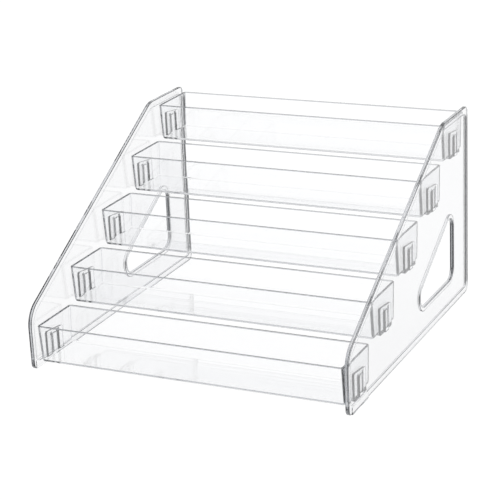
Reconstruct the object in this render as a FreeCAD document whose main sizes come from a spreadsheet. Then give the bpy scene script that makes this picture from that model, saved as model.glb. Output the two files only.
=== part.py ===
"""Stepped display rack for nail polish bottles: two moulded side panels carry five identical trays.

Frame: origin on the ground under the middle of the rack, +Z up, +Y from the lowest tray at the front to
the highest at the back, +X to the right. All lengths are in millimetres.

Each tray hangs on the panels by an arch-shaped socket at each end. The socket is open at the bottom and
drops over a T-shaped boss on the panel's inner face, so a tray comes off when it is lifted straight up.
"""

import FreeCAD, Part
import math
import os
import re

import Sketcher
from FreeCAD import Vector

DIMENSIONS = {
    # whole rack
    "overall_width": 231.4,
    "panel_depth": 238.5,
    "panel_height": 140.9,
    "panel_front_height": 40.7,
    "panel_top_length": 53.0,
    # side panel section
    "web_thickness": 1.6,
    "rim_thickness": 2.8,
    "rim_width": 5.0,
    "rim_round": 0.6,
    "rim_step_round": 0.4,
    "corner_radius": 4.5,
    "corner_inner_radius": 2.5,
    "slope_radius": 18.0,
    "slope_inner_radius": 13.0,
    # triangular cut-out, measured from the panel's front and base
    "cutout_front": 112.4,
    "cutout_back": 205.0,
    "cutout_base": 21.8,
    "cutout_top": 73.2,
    "cutout_radius": 8.0,
    "cutout_top_radius": 7.5,
    "cutout_rim_width": 3.2,
    "cutout_rim_radius": 11.2,
    "cutout_rim_top_radius": 10.7,
    # moulded foot strip on the panel's outer face
    "strip_length": 32.0,
    "strip_proud": 0.6,
    "strip_round": 2.0,
    # trays
    "tray_length": 221.8,
    "tray_depth": 43.6,
    "tray_height": 26.9,
    "tray_front_lean": 2.7,
    "tray_back_lean": 1.8,
    "tray_wall": 1.6,
    "tray_upright_radius": 2.4,
    "tray_floor_radius": 2.1,
    "tray_rim_round": 0.5,
    "tray_first_setback": 3.1,
    "tray_first_base": 4.4,
    "tray_pitch_depth": 47.6,
    "tray_pitch_height": 26.4,
    "tray_count": 5.0,
    # sockets on the tray ends
    "socket_centre": 21.5,
    "socket_ceiling": 14.8,
    "socket_bar_front": 4.0,
    "socket_bar_back": 1.6,
    "socket_leg": 4.8,
    "socket_width": 10.5,
    "socket_mouth": 6.5,
    "socket_depth": 1.2,
    "socket_lip": 0.5,
    "socket_round": 1.5,
    # bosses on the panels
    "boss_stem_width": 6.0,
    "boss_stem_length": 1.6,
    "boss_head_width": 10.0,
    "boss_head_length": 0.75,
    "boss_round": 1.2,
}

SHEET = "Dimensions"
TRAYS = ["tray_1_bottom", "tray_2", "tray_3", "tray_4", "tray_5_top"]
TOUCHING = 1e-4


def make_sheet(doc):
    """Writes the driving dimensions to a spreadsheet, one aliased cell each."""
    sheet = doc.addObject("Spreadsheet::Sheet", SHEET)
    for row, (alias, value) in enumerate(DIMENSIONS.items(), start=1):
        sheet.set(f"A{row}", alias)
        sheet.set(f"B{row}", str(value))
        sheet.setAlias(f"B{row}", alias)
    doc.recompute()


def amount(text):
    """The value of a sum of names, numbers and fractions, such as "panel_depth - rim_width / 2"."""
    total = 0.0
    for term in text.replace(" - ", " + -").split(" + "):
        name, *divisors = term.lstrip("-").split(" / ")
        value = DIMENSIONS[name] if name in DIMENSIONS else float(name)
        for divisor in divisors:
            value /= float(divisor)
        total += -value if term.startswith("-") else value
    return total


def formula(text):
    """The same text as a FreeCAD expression on the spreadsheet's cells."""
    return re.sub(
        "[a-z_]+",
        lambda word: f"{SHEET}.{word.group()}" if word.group() in DIMENSIONS else word.group(),
        text,
    )


def bind(target, settings):
    """Binds properties of an object to expressions on the spreadsheet."""
    for name, text in settings.items():
        target.setExpression(name, formula(text))


def new_body(doc, name):
    """An empty body whose label names its file."""
    body = doc.addObject("PartDesign::Body", name)
    body.Label = name
    return body


def origin_plane(body, role):
    """One of the body's own origin planes."""
    return next(feature for feature in body.Origin.OriginFeatures if feature.Role == role)


def new_sketch(body, name, plane_role, offset="0"):
    """A sketch on one of the body's origin planes, moved along the plane's normal by offset."""
    sketch = body.newObject("Sketcher::SketchObject", name)
    sketch.AttachmentSupport = [(origin_plane(body, plane_role), "")]
    sketch.MapMode = "FlatFace"
    bind(sketch, {"AttachmentOffset.Base.z": offset})
    return sketch


def dimension(sketch, kind, parts, value, text):
    """Adds a dimensional constraint and binds it to the spreadsheet."""
    number = sketch.addConstraint(Sketcher.Constraint(kind, *parts, value))
    sketch.setExpression(f"Constraints[{number}]", formula(text))


def draw_loop(sketch, corners, radii):
    """A closed polygon with rounded corners. corners are points; radii are dimension sums, "0" for sharp.

    Returns the sides' numbers, where side i starts at corner i, and each corner's point as (number, end).
    """
    count = len(corners)
    ends = []
    for i, corner in enumerate(corners):
        back = (corners[i - 1] - corner).normalize()
        ahead = (corners[(i + 1) % count] - corner).normalize()
        half_angle = back.getAngle(ahead) / 2
        radius = amount(radii[i])
        run = radius / math.tan(half_angle)
        centre = corner + (back + ahead).normalize() * (radius / math.sin(half_angle))
        top = centre + (corner - centre).normalize() * radius if radius else corner
        ends.append((corner + back * run, top, corner + ahead * run))

    sides = []
    for i in range(count):
        side = Part.LineSegment(ends[i][2], ends[(i + 1) % count][0])
        sides.append(sketch.addGeometry(side, False))

    points = []
    for i, (arrive, top, leave) in enumerate(ends):
        before, after = sides[i - 1], sides[i]
        if not amount(radii[i]):
            sketch.addConstraint(Sketcher.Constraint("Coincident", before, 2, after, 1))
            points.append((after, 1))
            continue
        arc = sketch.addGeometry(Part.Arc(arrive, top, leave), False)
        arrive_end = 1 if (sketch.Geometry[arc].StartPoint - arrive).Length < TOUCHING else 2
        sketch.addConstraint(Sketcher.Constraint("Tangent", before, 2, arc, arrive_end))
        sketch.addConstraint(Sketcher.Constraint("Tangent", arc, 3 - arrive_end, after, 1))
        dimension(sketch, "Radius", (arc,), amount(radii[i]), radii[i])
        point = sketch.addGeometry(Part.Point(corners[i]), True)
        sketch.addConstraint(Sketcher.Constraint("PointOnObject", point, 1, before))
        sketch.addConstraint(Sketcher.Constraint("PointOnObject", point, 1, after))
        points.append((point, 1))
    return sides, points


def draw_profile(sketch, corners, radii):
    """A rounded polygon whose corners are (across, up) sums of dimensions. Returns its sides and points."""
    places = [Vector(amount(across), amount(up), 0) for across, up in corners]
    sides, points = draw_loop(sketch, places, radii)
    for point, texts in zip(points, corners):
        for kind, text in zip(("DistanceX", "DistanceY"), texts):
            dimension(sketch, kind, (-1, 1, *point), amount(text), text)
    return sides, places


def offset_corners(corners, distance):
    """The corners of a polygon whose sides lie distance inside a counter-clockwise one."""
    moved = []
    for i, corner in enumerate(corners):
        back = (corners[i - 1] - corner).normalize()
        ahead = (corners[(i + 1) % len(corners)] - corner).normalize()
        inward = (back + ahead).normalize()
        moved.append(corner + inward * (distance / math.sin(back.getAngle(ahead) / 2)))
    return moved


def draw_offset(sketch, sides, corners, radii, distance_text, outward=False):
    """A rounded polygon that keeps one distance from each side of a polygon in the same sketch."""
    distance = amount(distance_text)
    places = offset_corners(corners, -distance if outward else distance)
    inner_sides, _ = draw_loop(sketch, places, radii)
    for side, inner_side in zip(sides, inner_sides):
        sketch.addConstraint(Sketcher.Constraint("Parallel", side, inner_side))
        dimension(sketch, "Distance", (inner_side, 1, side), distance, distance_text)


def add_pad(body, name, sketch, length, midplane=False, reverse=False):
    """Pads a sketch by a length that is an expression on the spreadsheet."""
    pad = body.newObject("PartDesign::Pad", name)
    pad.Profile = sketch
    pad.Midplane = midplane
    pad.Reversed = reverse
    bind(pad, {"Length": length})
    return pad


def names_of(shape, chosen, kind):
    """The sub-element names, such as Edge3, of the chosen edges or faces of a shape."""
    elements = shape.Edges if kind == "Edge" else shape.Faces
    return [
        f"{kind}{number}"
        for number, element in enumerate(elements, start=1)
        if any(element.isSame(one) for one in chosen)
    ]


def add_fillet(body, name, base, subs, radius):
    """Rounds the named edges or faces of the feature before it."""
    fillet = body.newObject("PartDesign::Fillet", name)
    fillet.Base = (base, subs)
    bind(fillet, {"Radius": radius})
    return fillet


def draw_outline(sketch):
    """The panel's outline seen from the right: flat base, upright back, flat top and sloping front."""
    corners = [
        ("0", "0"),
        ("panel_depth", "0"),
        ("panel_depth", "panel_height"),
        ("panel_depth - panel_top_length", "panel_height"),
        ("0", "panel_front_height"),
    ]
    return draw_profile(sketch, corners, ["corner_radius"] * 3 + ["slope_radius"] * 2)


def draw_cutout(sketch):
    """The cut-out: a right-angled triangle whose long side runs parallel to the sloping front."""
    corners = [
        ("cutout_front", "cutout_base"),
        ("cutout_back", "cutout_base"),
        ("cutout_back", "cutout_top"),
    ]
    return draw_profile(sketch, corners, ["cutout_radius"] * 2 + ["cutout_top_radius"])


def flat_faces(shape, offset):
    """The faces that lie at a distance either side of the panel's middle plane."""
    return [
        face
        for face in shape.Faces
        if face.BoundBox.XLength < TOUCHING and abs(abs(face.CenterOfMass.x) - offset) < TOUCHING
    ]


def wires_of(face, outer):
    """The face's outer wire, or the wires round its holes."""
    return [wire for wire in face.Wires if wire.isSame(face.OuterWire) == outer]


def ring_edges(shape, at_edge):
    """The edges round the flat faces of the two kinds of rim, on both sides of the panel.

    With at_edge they are the panel's own outline and the cut-out's own edge, and otherwise the steps
    down to the web.
    """
    edges = []
    for face in flat_faces(shape, amount("rim_thickness") / 2):
        is_panel_rim = face.BoundBox.YLength > amount("cutout_back")
        for wire in wires_of(face, outer=is_panel_rim == at_edge):
            edges += wire.Edges
    return names_of(shape, edges, "Edge")


def make_panel(doc):
    """The right side panel: a thin web with a raised rim round its edge and round its cut-out."""
    body = new_body(doc, "side_panel_right")

    web_sketch = new_sketch(body, "WebSketch", "YZ_Plane")
    draw_outline(web_sketch)
    add_pad(body, "Web", web_sketch, "web_thickness", midplane=True)

    rim_sketch = new_sketch(body, "RimSketch", "YZ_Plane")
    sides, corners = draw_outline(rim_sketch)
    inner_radii = ["corner_inner_radius"] * 3 + ["slope_inner_radius"] * 2
    draw_offset(rim_sketch, sides, corners, inner_radii, "rim_width")
    add_pad(body, "Rim", rim_sketch, "rim_thickness", midplane=True)

    cutout_rim_sketch = new_sketch(body, "CutoutRimSketch", "YZ_Plane")
    sides, corners = draw_cutout(cutout_rim_sketch)
    rim_radii = ["cutout_rim_radius"] * 2 + ["cutout_rim_top_radius"]
    draw_offset(cutout_rim_sketch, sides, corners, rim_radii, "cutout_rim_width", outward=True)
    add_pad(body, "CutoutRim", cutout_rim_sketch, "rim_thickness", midplane=True)

    cutout_sketch = new_sketch(body, "CutoutSketch", "YZ_Plane")
    draw_cutout(cutout_sketch)
    cutout = body.newObject("PartDesign::Pocket", "Cutout")
    cutout.Profile = cutout_sketch
    cutout.Midplane = True
    bind(cutout, {"Length": "rim_thickness + rim_thickness"})
    doc.recompute()

    bead = add_fillet(body, "BeadRound", cutout, ring_edges(cutout.Shape, True), "rim_round")
    doc.recompute()
    add_fillet(body, "StepRound", bead, ring_edges(bead.Shape, False), "rim_step_round")

    strip_sketch = new_sketch(body, "StripSketch", "YZ_Plane")
    corners = [
        ("corner_radius", "0"),
        ("strip_length", "0"),
        ("strip_length", "rim_width"),
        ("corner_radius", "rim_width"),
    ]
    draw_profile(strip_sketch, corners, ["0", "strip_round", "strip_round", "0"])
    add_pad(body, "Strip", strip_sketch, "rim_thickness / 2 + strip_proud")
    add_bosses(body)
    bind(
        body,
        {
            "Placement.Base.x": "overall_width / 2 - rim_thickness / 2",
            "Placement.Base.y": "0 - panel_depth / 2",
        },
    )
    return body


def add_bosses(body):
    """A row of T-shaped bosses up the panel's inner face, one for each tray."""
    layers = [
        ("Stem", "boss_stem_width", "0", "web_thickness / 2 + boss_stem_length"),
        ("Head", "boss_head_width", "0 - web_thickness / 2 - boss_stem_length", "boss_head_length"),
    ]
    pads = []
    for name, width, plane_offset, length in layers:
        sketch = new_sketch(body, f"{name}Sketch", "YZ_Plane", plane_offset)
        front = f"tray_first_setback + socket_centre - {width} / 2"
        back = f"tray_first_setback + socket_centre + {width} / 2"
        top = "tray_first_base + socket_ceiling"
        corners = [(front, "tray_first_base"), (back, "tray_first_base"), (back, top), (front, top)]
        draw_profile(sketch, corners, ["0", "0", "boss_round", "boss_round"])
        pads.append(add_pad(body, name, sketch, length, reverse=True))

    # A construction line from one tray's place to the next gives the row its direction.
    step = Vector(amount("tray_pitch_depth"), amount("tray_pitch_height"), 0)
    line = sketch.addGeometry(Part.LineSegment(Vector(), step), True)
    sketch.addConstraint(Sketcher.Constraint("Coincident", line, 1, -1, 1))
    dimension(sketch, "DistanceX", (-1, 1, line, 2), step.x, "tray_pitch_depth")
    dimension(sketch, "DistanceY", (-1, 1, line, 2), step.y, "tray_pitch_height")
    body.Document.recompute()

    row = body.newObject("PartDesign::LinearPattern", "BossRow")
    row.Originals = pads
    row.Direction = (sketch, ["Axis0"])
    bind(
        row,
        {
            "Length": "hypot(tray_pitch_depth; tray_pitch_height) * (tray_count - 1)",
            "Occurrences": "tray_count",
        },
    )
    body.Tip = row


def mirror_panel(doc, right_panel):
    """The left side panel is the right one's mirror image."""
    mirror = doc.addObject("Part::Mirroring", "side_panel_left")
    mirror.Label = "side_panel_left"
    mirror.Source = right_panel
    mirror.Normal = Vector(1, 0, 0)
    return mirror


def add_socket(body):
    """The arch-shaped socket on a tray's right end, with a lip inside each leg, and its mirror image."""
    layers = [
        ("Arch", "socket_width", "tray_length / 2 - tray_wall", "tray_wall + socket_depth"),
        ("Lip", "socket_mouth", "tray_length / 2 + socket_depth", "socket_lip"),
    ]
    front = "socket_centre - socket_width / 2 - socket_leg"
    back = "socket_centre + socket_width / 2 + socket_leg"
    top_front = "socket_ceiling + socket_bar_front"
    top_back = "socket_ceiling + socket_bar_back"
    pads = []
    for name, gap, plane_offset, length in layers:
        gap_front = f"socket_centre - {gap} / 2"
        gap_back = f"socket_centre + {gap} / 2"
        corners = [
            (front, "0"),
            (gap_front, "0"),
            (gap_front, "socket_ceiling"),
            (gap_back, "socket_ceiling"),
            (gap_back, "0"),
            (back, "0"),
            (back, top_back),
            (front, top_front),
        ]
        sketch = new_sketch(body, f"{name}Sketch", "YZ_Plane", plane_offset)
        draw_profile(sketch, corners, ["0"] * 6 + ["socket_round"] * 2)
        pads.append(add_pad(body, name, sketch, length))
    body.Document.recompute()

    mirrored = body.newObject("PartDesign::Mirrored", "OtherEnd")
    mirrored.Originals = pads
    mirrored.MirrorPlane = (origin_plane(body, "YZ_Plane"), [""])
    body.Tip = mirrored


def is_level(face, height):
    """Whether a face is flat and lies at a height."""
    box = face.BoundBox
    return box.ZLength < TOUCHING and abs(box.ZMin - height) < TOUCHING


def make_tray(doc, name, place):
    """One open tray, whose front and back walls lean a little. place counts the trays up from the front."""
    body = new_body(doc, name)
    sketch = new_sketch(body, "SectionSketch", "YZ_Plane")
    corners = [
        ("tray_front_lean", "0"),
        ("tray_depth - tray_back_lean", "0"),
        ("tray_depth", "tray_height"),
        ("0", "tray_height"),
    ]
    draw_profile(sketch, corners, ["0"] * 4)
    block = add_pad(body, "Block", sketch, "tray_length", midplane=True)
    doc.recompute()

    height = amount("tray_height")
    uprights = [edge for edge in block.Shape.Edges if edge.BoundBox.ZLength > height - TOUCHING]
    upright_names = names_of(block.Shape, uprights, "Edge")
    upright = add_fillet(body, "UprightRound", block, upright_names, "tray_upright_radius")
    doc.recompute()
    floor = [face for face in upright.Shape.Faces if is_level(face, 0)]
    floor_names = names_of(upright.Shape, floor, "Face")
    rounded = add_fillet(body, "FloorRound", upright, floor_names, "tray_floor_radius")
    doc.recompute()

    shell = body.newObject("PartDesign::Thickness", "Shell")
    top = [face for face in rounded.Shape.Faces if is_level(face, height)]
    shell.Base = (rounded, names_of(rounded.Shape, top, "Face"))
    shell.Reversed = True
    bind(shell, {"Value": "tray_wall"})
    doc.recompute()
    rim = [face for face in shell.Shape.Faces if is_level(face, height)]
    add_fillet(body, "RimRound", shell, names_of(shell.Shape, rim, "Face"), "tray_rim_round")
    add_socket(body)
    bind(
        body,
        {
            "Placement.Base.y": f"tray_first_setback - panel_depth / 2 + {place} * tray_pitch_depth",
            "Placement.Base.z": f"tray_first_base + {place} * tray_pitch_height",
        },
    )
    return body


def check(doc, pieces):
    """Stops the build if any feature failed, or any piece isn't one valid solid."""
    doc.recompute()
    for item in doc.Objects:
        if {"Invalid", "Error"} & set(item.State):
            raise RuntimeError(f"{item.Label} failed: {item.State}")
    for piece in pieces:
        shape = piece.Shape
        if shape.isNull() or not shape.isValid() or len(shape.Solids) != 1:
            raise RuntimeError(f"{piece.Label} isn't one valid solid")


def main():
    doc = FreeCAD.newDocument("NailPolishRack")
    make_sheet(doc)
    right_panel = make_panel(doc)
    pieces = [right_panel, mirror_panel(doc, right_panel)]
    pieces += [make_tray(doc, name, place) for place, name in enumerate(TRAYS)]
    check(doc, pieces)

    os.makedirs("parts", exist_ok=True)
    for piece in pieces:
        piece.Shape.exportStep(f"parts/{piece.Label}.step")
        box = piece.Shape.BoundBox
        print(piece.Label, f"{piece.Shape.Volume:.0f} mm3", box)


main()
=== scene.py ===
"""Looks for the nail polish rack: clear moulded plastic on a glowing white studio floor."""

from math import cos, radians, sin

import bpy
from mathutils import Matrix, Vector


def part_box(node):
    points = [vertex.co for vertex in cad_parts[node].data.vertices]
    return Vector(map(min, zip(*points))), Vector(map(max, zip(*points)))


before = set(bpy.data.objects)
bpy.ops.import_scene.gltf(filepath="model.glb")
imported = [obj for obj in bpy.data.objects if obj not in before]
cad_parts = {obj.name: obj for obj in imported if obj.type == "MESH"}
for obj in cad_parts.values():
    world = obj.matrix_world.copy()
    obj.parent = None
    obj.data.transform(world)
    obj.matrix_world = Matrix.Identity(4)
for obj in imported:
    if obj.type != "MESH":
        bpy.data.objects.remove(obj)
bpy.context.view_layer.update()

# Camera, in metres and degrees
CAMERA_PLACE = Vector((0.4828, -1.0178, 0.4493))
CAMERA_AZIMUTH = 25.597
CAMERA_ELEVATION = 19.114
CAMERA_ROLL = -2.608
CAMERA_LENS = 122.84
SENSOR_WIDTH = 36.0

# Studio
FLOOR_HALF_WIDTH = 6.0
FLOOR_DROP = 0.0005
FLOOR_COLOR = (0.10, 0.10, 0.10, 1.0)
FLOOR_GLOW = (0.96, 0.96, 0.96, 1.0)
FLOOR_ROUGHNESS = 0.9
SKY_COLOR = (1.04, 1.04, 1.04, 1.0)
TRAPPED_COLOR = (0.66, 0.67, 0.69, 1.0)
LOSS_PER_REFLECTION = 0.55
SKY_FREE_REFLECTIONS = 1.0
FLOOR_FREE_REFLECTIONS = 0.0
LIGHT_BOUNCES = 32

# Clear plastic, and the directions that its flat faces look in
PLASTIC_IOR = 1.49
PANEL_SLOPE = radians(28.38)
FRONT_LEAN = radians(5.73)
BACK_LEAN = radians(3.83)
PANEL_FLATS = [(1, 0, 0), (0, 1, 0), (0, 0, 1), (0, -sin(PANEL_SLOPE), cos(PANEL_SLOPE))]
TRAY_FLATS = [
    (1, 0, 0),
    (0, 0, 1),
    (0, cos(FRONT_LEAN), sin(FRONT_LEAN)),
    (0, cos(BACK_LEAN), -sin(BACK_LEAN)),
]

# Colours of the faces, and of the edges: the edge colours are painted shade, greys and near-blacks
# that stand in for the dark lines refraction draws in clear plastic along its rounded edges and
# rims; along a tray's floor the edges stay white
PANEL_TINT = (0.925, 0.927, 0.933, 1.0)
TRAY_TINT = (0.990, 0.992, 0.995, 1.0)
DARKEST_PAINTED_SHADE = (0.010, 0.011, 0.013, 1.0)
PANEL_FRONT_EDGE_SHADE = (0.45, 0.46, 0.48, 1.0)
TRAY_FRONT_EDGE_SHADE = (0.03, 0.032, 0.036, 1.0)
TRAY_BACK_EDGE_SHADE = (0.75, 0.76, 0.78, 1.0)
LEVEL_EDGE_SHADE = (0.66, 0.67, 0.69, 1.0)
RIM_SHADE = (0.36, 0.37, 0.39, 1.0)
FLOOR_EDGE_TINT = (1.0, 1.0, 1.0, 1.0)

# Cosines between which a surface passes from edge to flat, or turns to face an axis
PANEL_CREASE = (0.985, 0.9995)
TRAY_CREASE = (0.76, 0.95)
LEVEL_FACING = (0.1, 0.6)
UPRIGHT_FACING = (0.1, 0.5)
ACROSS_FACING = (0.2, 0.9)

# Parts of a tray's height, from 0 at its base to 1 at its rim, and of a piece's depth
FLOOR_EDGE_BELOW = 0.08
STROKES_BELOW = 0.61
RIM_ABOVE = 0.975
BACK_HALF = 0.5

# Dark lines of painted shade, in metres, standing in for the lines that refraction draws at the
# beads' edges, the panels' back edges and the sockets' rounded edges: each is a middle and a width,
# and fades out across parts of that width
LINE_SOLID = 0.3
LINE_SOFT = 0.7
BEAD_LINES = [(0.1132, 0.0011), (0.1154, 0.0008)]
BACK_LINES = [(0.1183, 0.0017)]
BACK_LINE_ENDS = (0.005, 0.135)
LINE_FADE = 0.003
SOCKET_STROKES = [(-0.0047, 0.0011), (-0.0032, 0.0011), (0.0036, 0.0018), (0.0052, 0.0011)]

# Places of the sockets and bosses, in metres from the rack's middle and from a tray's front
SOCKET_FROM = 0.1111
STROKES_FROM = 0.1108
BOSS_WITHIN = 0.1134
SOCKET_CENTRE = 0.0215

# Moulding waves and uneven polish
WAVE_SCALE = 16.0
WAVE_DETAIL = 1.0
WAVE_HEIGHT = 0.00012
POLISH_SCALE = 60.0
POLISH_DETAIL = 3.0
POLISH_NOISE = (0.3, 0.7)
POLISH_ROUGHNESS = (0.0, 0.02)


def link_object(name, data):
    """A new object in the scene's own collection."""
    item = bpy.data.objects.new(name, data)
    bpy.context.scene.collection.objects.link(item)
    return item


def add_camera():
    """The camera, at the height and turn from which the rack is shown."""
    data = bpy.data.cameras.new("camera")
    data.lens = CAMERA_LENS
    data.sensor_width = SENSOR_WIDTH
    camera = link_object("camera", data)
    camera.matrix_world = (
        Matrix.Translation(CAMERA_PLACE)
        @ Matrix.Rotation(radians(CAMERA_AZIMUTH), 4, "Z")
        @ Matrix.Rotation(radians(90 - CAMERA_ELEVATION), 4, "X")
        @ Matrix.Rotation(radians(CAMERA_ROLL), 4, "Z")
    )
    bpy.context.scene.camera = camera


def node_material(name):
    """A new node material, with its tree and its Principled shader."""
    material = bpy.data.materials.new(name)
    material.use_nodes = True
    tree = material.node_tree
    return material, tree, tree.nodes["Principled BSDF"]


def set_inputs(node, settings):
    """Sets a node's inputs by name."""
    for name, value in settings.items():
        node.inputs[name].default_value = value


def calculate(tree, operation, first, second=0.0):
    """A Math node's result; each input is a number or another node's output."""
    node = tree.nodes.new("ShaderNodeMath")
    node.operation = operation
    for socket, given in zip(node.inputs, (first, second)):
        if isinstance(given, (int, float)):
            socket.default_value = given
        else:
            tree.links.new(given, socket)
    return node.outputs["Value"]


def blend_colors(tree, factor, low, high):
    """A colour that goes from low to high as the factor goes from 0 to 1."""
    node = tree.nodes.new("ShaderNodeMix")
    node.data_type = "RGBA"
    tree.links.new(factor, node.inputs["Factor"])
    for socket, given in ((node.inputs[6], low), (node.inputs[7], high)):
        if isinstance(given, tuple):
            socket.default_value = given
        else:
            tree.links.new(given, socket)
    return node.outputs[2]


def rescale(tree, value, start, end, low, high):
    """A value from start to end, eased to run from low to high."""
    node = tree.nodes.new("ShaderNodeMapRange")
    node.interpolation_type = "SMOOTHSTEP"
    set_inputs(node, {"From Min": start, "From Max": end, "To Min": low, "To Max": high})
    tree.links.new(value, node.inputs["Value"])
    return node.outputs["Result"]


def trapped(tree, free_reflections):
    """How much light is lost by reflections inside the plastic, from 0 to 1: it draws the edges."""
    path = tree.nodes.new("ShaderNodeLightPath")
    is_inside = calculate(tree, "GREATER_THAN", path.outputs["Transmission Depth"], 0.5)
    reflections = calculate(tree, "SUBTRACT", path.outputs["Glossy Depth"], free_reflections)
    loss = rescale(tree, reflections, 0.0, 1.0 / LOSS_PER_REFLECTION, 0.0, 1.0)
    return calculate(tree, "MULTIPLY", loss, is_inside)


def add_floor():
    """A white floor that glows like a light table, so the rack throws hardly any shadow."""
    mesh = bpy.data.meshes.new("floor")
    half = FLOOR_HALF_WIDTH
    mesh.from_pydata(
        [(-half, -half, 0), (half, -half, 0), (half, half, 0), (-half, half, 0)], [], [(0, 1, 2, 3)]
    )
    floor = link_object("floor", mesh)
    floor.location.z = -FLOOR_DROP
    material, tree, shader = node_material("floor_white")
    set_inputs(
        shader,
        {
            "Base Color": FLOOR_COLOR,
            "Roughness": FLOOR_ROUGHNESS,
            "Specular IOR Level": 0.0,
            "Emission Strength": 1.0,
        },
    )
    glow = blend_colors(tree, trapped(tree, FLOOR_FREE_REFLECTIONS), FLOOR_GLOW, TRAPPED_COLOR)
    tree.links.new(glow, shader.inputs["Emission Color"])
    mesh.materials.append(material)


def add_world():
    """A white studio all round."""
    world = bpy.data.worlds.new("studio")
    bpy.context.scene.world = world
    world.use_nodes = True
    tree = world.node_tree
    color = blend_colors(tree, trapped(tree, SKY_FREE_REFLECTIONS), SKY_COLOR, TRAPPED_COLOR)
    tree.links.new(color, tree.nodes["Background"].inputs["Color"])


def surface(tree, kind, axis):
    """One component, 0 to 2 for X to Z, of the surface's Object or Generated place, or Normal."""
    coordinates = tree.nodes.new("ShaderNodeTexCoord")
    split = tree.nodes.new("ShaderNodeSeparateXYZ")
    tree.links.new(coordinates.outputs[kind], split.inputs["Vector"])
    return split.outputs[axis]


def crease(tree, directions, limits):
    """How far a surface turns away from all of a piece's flat faces: 0 on them, 1 on its edges."""
    coordinates = tree.nodes.new("ShaderNodeTexCoord")
    flatness = 0.0
    for direction in directions:
        node = tree.nodes.new("ShaderNodeVectorMath")
        node.operation = "DOT_PRODUCT"
        tree.links.new(coordinates.outputs["Normal"], node.inputs[0])
        node.inputs[1].default_value = direction
        facing = calculate(tree, "ABSOLUTE", node.outputs["Value"])
        flatness = calculate(tree, "MAXIMUM", facing, flatness)
    return rescale(tree, flatness, *limits, 1.0, 0.0)


def painted_edge_shade(tree, upright):
    """Painted shade for the edges: the given colour on edges that run upright, and grey on level
    ones.
    """
    upward = calculate(tree, "ABSOLUTE", surface(tree, "Normal", 2))
    is_level = rescale(tree, upward, *LEVEL_FACING, 0.0, 1.0)
    return blend_colors(tree, is_level, upright, LEVEL_EDGE_SHADE)


def side_wall(tree):
    """1 on the faces that stand across the rack's ends, and 0 on those that lie along them."""
    across = calculate(tree, "ABSOLUTE", surface(tree, "Normal", 0))
    return rescale(tree, across, *ACROSS_FACING, 1.0, 0.0)


def lines_at(tree, place, lines):
    """1 where the place is in one of the lines, each a middle and a width, and 0 beside them."""
    inked = 0.0
    for middle, width in lines:
        away = calculate(tree, "ABSOLUTE", calculate(tree, "SUBTRACT", place, middle))
        line = rescale(tree, away, LINE_SOLID * width, LINE_SOFT * width, 1.0, 0.0)
        inked = calculate(tree, "MAXIMUM", line, inked)
    return inked


def socket_strokes(tree):
    """1 in the upright strokes of painted shade that stand in for what a socket's rounded edges
    show by refraction, and 0 beside them.
    """
    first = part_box("tray_1_bottom")[0][1]
    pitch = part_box("tray_2")[0][1] - first
    start = first + SOCKET_CENTRE - pitch / 2
    place = calculate(tree, "SUBTRACT", surface(tree, "Object", 1), start)
    from_centre = calculate(tree, "SUBTRACT", calculate(tree, "MODULO", place, pitch), pitch / 2)
    return lines_at(tree, from_centre, SOCKET_STROKES)


def bead_lines(tree, outward):
    """1 along both edges of the beads' upright faces, where lines of painted shade go, and 0 beside
    them.
    """
    upward = calculate(tree, "ABSOLUTE", surface(tree, "Normal", 2))
    is_upright = rescale(tree, upward, *UPRIGHT_FACING, 1.0, 0.0)
    upright = calculate(tree, "MULTIPLY", side_wall(tree), is_upright)
    return calculate(tree, "MULTIPLY", upright, lines_at(tree, outward, BEAD_LINES))


def back_lines(tree):
    """1 along the back edges of a panel's two faces, between its corners, where lines of painted
    shade go, and 0 elsewhere.
    """
    height = surface(tree, "Object", 2)
    low, high = BACK_LINE_ENDS
    from_foot = rescale(tree, height, low, low + LINE_FADE, 0.0, 1.0)
    to_top = rescale(tree, height, high - LINE_FADE, high, 1.0, 0.0)
    line = lines_at(tree, surface(tree, "Object", 1), BACK_LINES)
    return calculate(tree, "MULTIPLY", line, calculate(tree, "MULTIPLY", from_foot, to_top))


def noise(tree, scale, detail):
    """Noise in the piece's own space."""
    coordinates = tree.nodes.new("ShaderNodeTexCoord")
    node = tree.nodes.new("ShaderNodeTexNoise")
    set_inputs(node, {"Scale": scale, "Detail": detail})
    tree.links.new(coordinates.outputs["Object"], node.inputs["Vector"])
    return node.outputs["Fac"]


def clear_plastic(name):
    """Clear plastic with a moulding's faint waves and an uneven polish, and its tree and shader."""
    material, tree, shader = node_material(name)
    set_inputs(shader, {"IOR": PLASTIC_IOR, "Transmission Weight": 1.0})
    waves = tree.nodes.new("ShaderNodeBump")
    set_inputs(waves, {"Strength": 1.0, "Distance": WAVE_HEIGHT})
    tree.links.new(noise(tree, WAVE_SCALE, WAVE_DETAIL), waves.inputs["Height"])
    tree.links.new(waves.outputs["Normal"], shader.inputs["Normal"])
    uneven = noise(tree, POLISH_SCALE, POLISH_DETAIL)
    polish = rescale(tree, uneven, *POLISH_NOISE, *POLISH_ROUGHNESS)
    tree.links.new(polish, shader.inputs["Roughness"])
    return material, tree, shader


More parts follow.
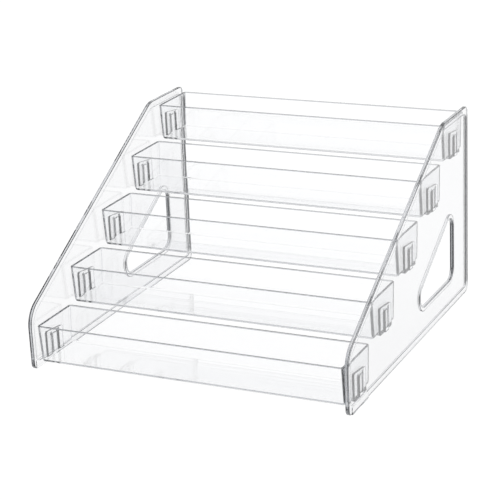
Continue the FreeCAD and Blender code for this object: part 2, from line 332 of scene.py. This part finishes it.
def panel_plastic():
    """The side panels' plastic: painted dark shade on rounded edges, beads, back edges and round
    the bosses, in place of the lines that refraction draws there.
    """
    material, tree, shader = clear_plastic("clear_panel")
    edges = crease(tree, PANEL_FLATS, PANEL_CREASE)
    outward = calculate(tree, "ABSOLUTE", surface(tree, "Object", 0))
    on_boss = calculate(tree, "LESS_THAN", outward, BOSS_WITHIN)
    # The faces round the bosses get painted dark shade.
    boss_side = calculate(tree, "MULTIPLY", on_boss, side_wall(tree))
    dark = calculate(tree, "MAXIMUM", edges, boss_side)
    for lines in (bead_lines(tree, outward), back_lines(tree)):
        dark = calculate(tree, "MAXIMUM", dark, lines)
    backward = calculate(tree, "GREATER_THAN", surface(tree, "Generated", 1), BACK_HALF)
    # Painted shade on the edges: near-black on the back half's upright edges, lighter grey on the
    # front half's.
    upright = blend_colors(tree, backward, PANEL_FRONT_EDGE_SHADE, DARKEST_PAINTED_SHADE)
    color = blend_colors(tree, dark, PANEL_TINT, painted_edge_shade(tree, upright))
    tree.links.new(color, shader.inputs["Base Color"])
    return material


def tray_plastic():
    """The trays' plastic: painted shade on the rounded edges, painted grey shade on the rims, clear
    along the floor, and painted dark shade round the sockets.
    """
    material, tree, shader = clear_plastic("clear_tray")
    height = surface(tree, "Generated", 2)
    near_floor = calculate(tree, "LESS_THAN", height, FLOOR_EDGE_BELOW)
    backward = calculate(tree, "GREATER_THAN", surface(tree, "Generated", 1), BACK_HALF)
    # Painted shade on the rounded edges: near-black on the front half's upright edges, light grey
    # on the back half's, none along the floor.
    upright = blend_colors(tree, backward, TRAY_FRONT_EDGE_SHADE, TRAY_BACK_EDGE_SHADE)
    edges = blend_colors(tree, near_floor, painted_edge_shade(tree, upright), FLOOR_EDGE_TINT)
    color = blend_colors(tree, crease(tree, TRAY_FLATS, TRAY_CREASE), TRAY_TINT, edges)
    # Painted grey shade along the top of the rim.
    on_rim = calculate(tree, "GREATER_THAN", height, RIM_ABOVE)
    color = blend_colors(tree, on_rim, color, RIM_SHADE)
    outward = calculate(tree, "ABSOLUTE", surface(tree, "Object", 0))
    on_socket = calculate(tree, "GREATER_THAN", outward, SOCKET_FROM)
    # Painted dark shade on the sockets' side faces, and in upright strokes beside them.
    socket_side = calculate(tree, "MULTIPLY", on_socket, side_wall(tree))
    at_socket = calculate(tree, "GREATER_THAN", outward, STROKES_FROM)
    under_arch = calculate(tree, "LESS_THAN", height, STROKES_BELOW)
    has_strokes = calculate(tree, "MULTIPLY", at_socket, under_arch)
    strokes = calculate(tree, "MULTIPLY", socket_strokes(tree), has_strokes)
    dark = calculate(tree, "MAXIMUM", socket_side, strokes)
    color = blend_colors(tree, dark, color, DARKEST_PAINTED_SHADE)
    tree.links.new(color, shader.inputs["Base Color"])
    return material


def dress(kind, material):
    """Gives the CAD pieces with this word in their names a material."""
    for name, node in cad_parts.items():
        if kind in name:
            node.data.materials.clear()
            node.data.materials.append(material)


def set_render_look():
    """Plain colours, and enough bounces for light to cross all the panes."""
    scene = bpy.context.scene
    scene.view_settings.view_transform = "Standard"
    scene.cycles.max_bounces = LIGHT_BOUNCES
    scene.cycles.transmission_bounces = LIGHT_BOUNCES
    scene.cycles.glossy_bounces = LIGHT_BOUNCES


add_camera()
add_floor()
add_world()
dress("panel", panel_plastic())
dress("tray", tray_plastic())
set_render_look()
